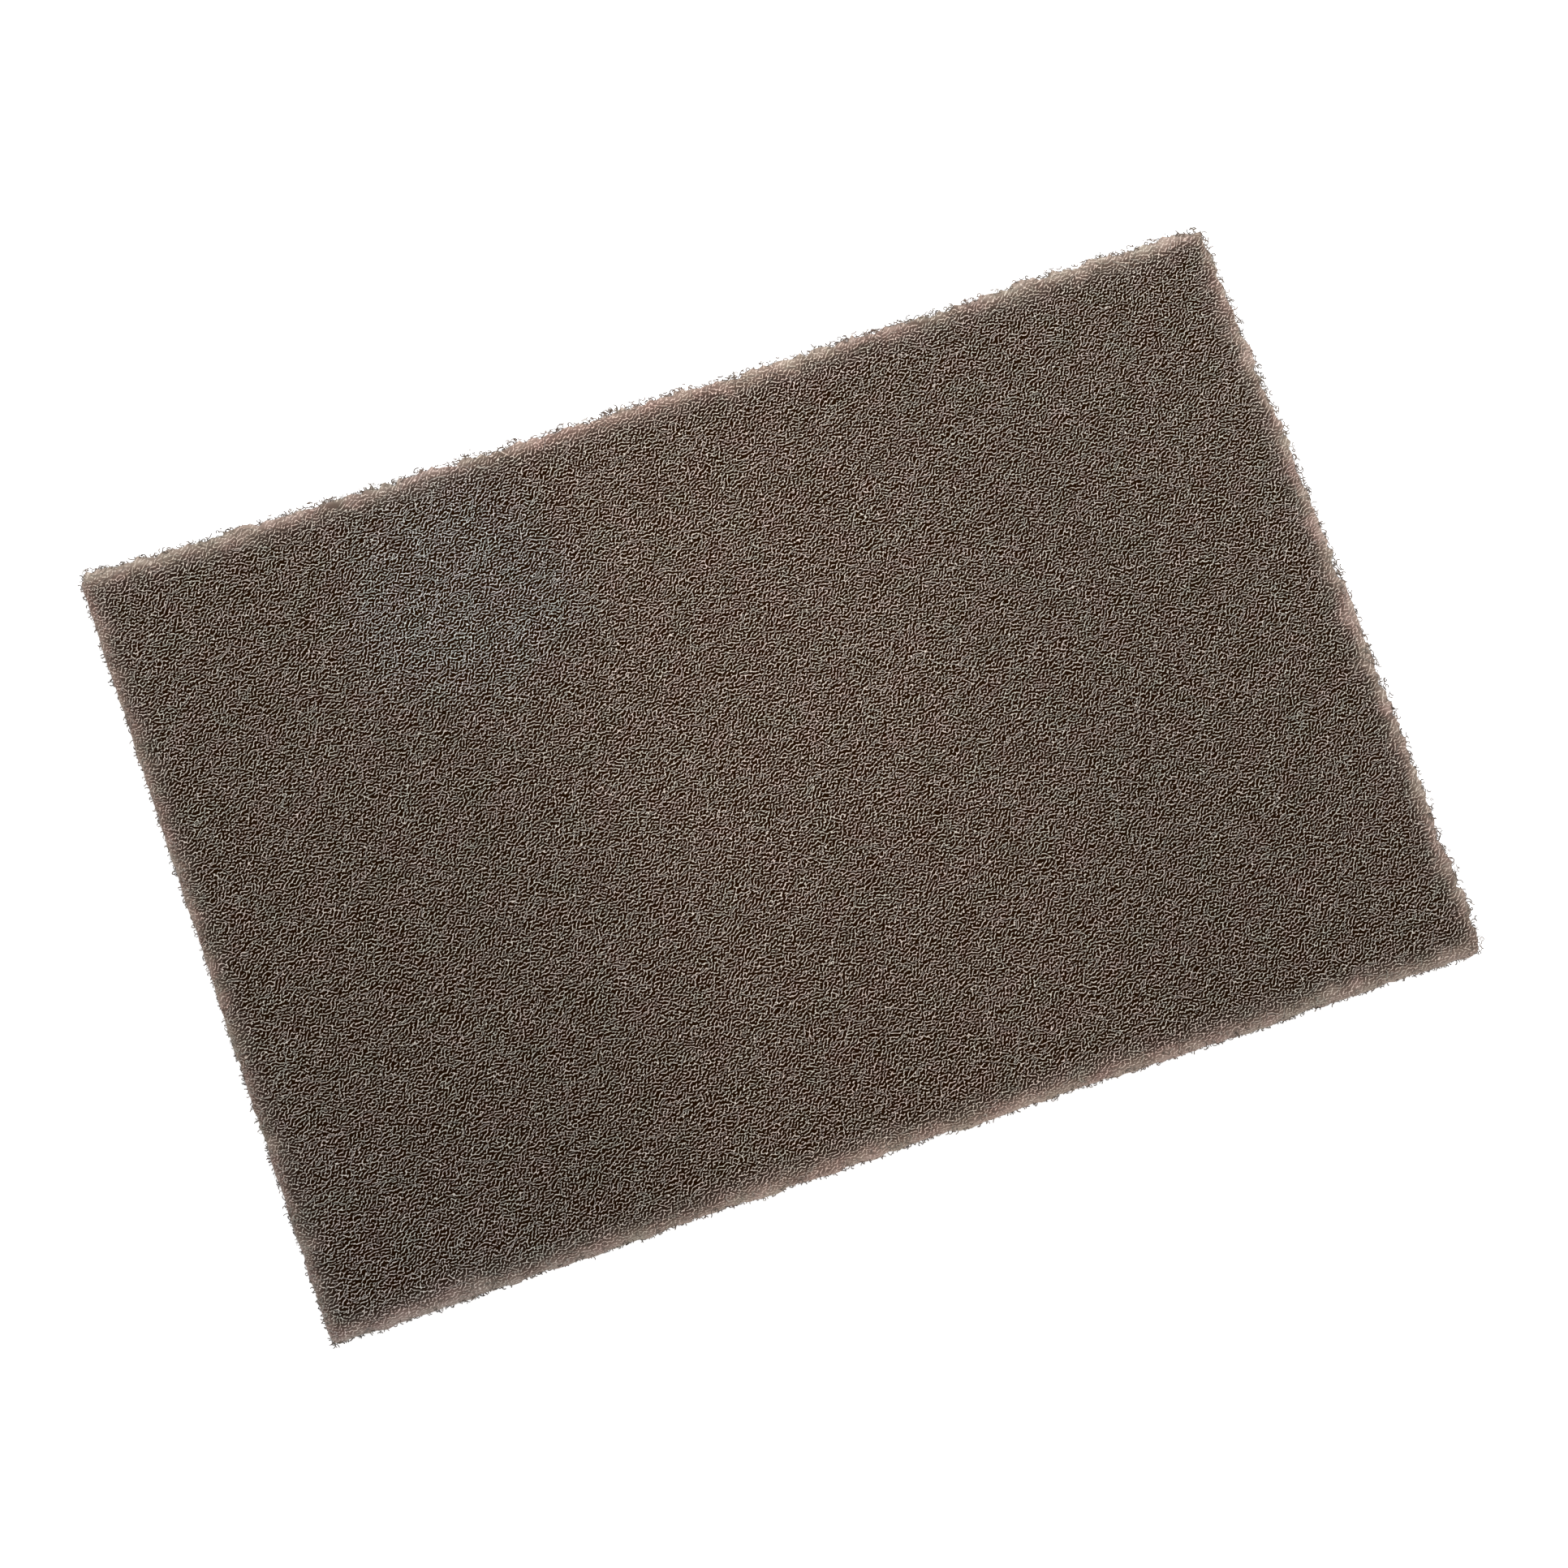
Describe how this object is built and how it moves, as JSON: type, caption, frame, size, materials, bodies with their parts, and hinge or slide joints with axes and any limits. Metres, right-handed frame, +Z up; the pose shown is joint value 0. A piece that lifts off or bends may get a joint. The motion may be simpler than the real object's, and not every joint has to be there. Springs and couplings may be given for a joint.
{
  "type": "abrasive hand pad",
  "caption": "Flat rectangular hand pad of springy non-woven fibre web, bonded with resin and fine grit, for scouring and smoothing surfaces by hand.",
  "frame": {"origin": "centre of the underside, on the surface that the pad lies on", "axes": "+X along the pad's length, +Y across its width, +Z up through its thickness"},
  "size_m": [0.2296, 0.153, 0.0063],
  "materials": {
    "grit_coated_web": "matte taupe-grey crimped nylon fibres, bonded with resin and fine abrasive grit"
  },
  "bodies": {
    "root": {"fibre_pad": "grit_coated_web"}
  },
  "joints": []
}
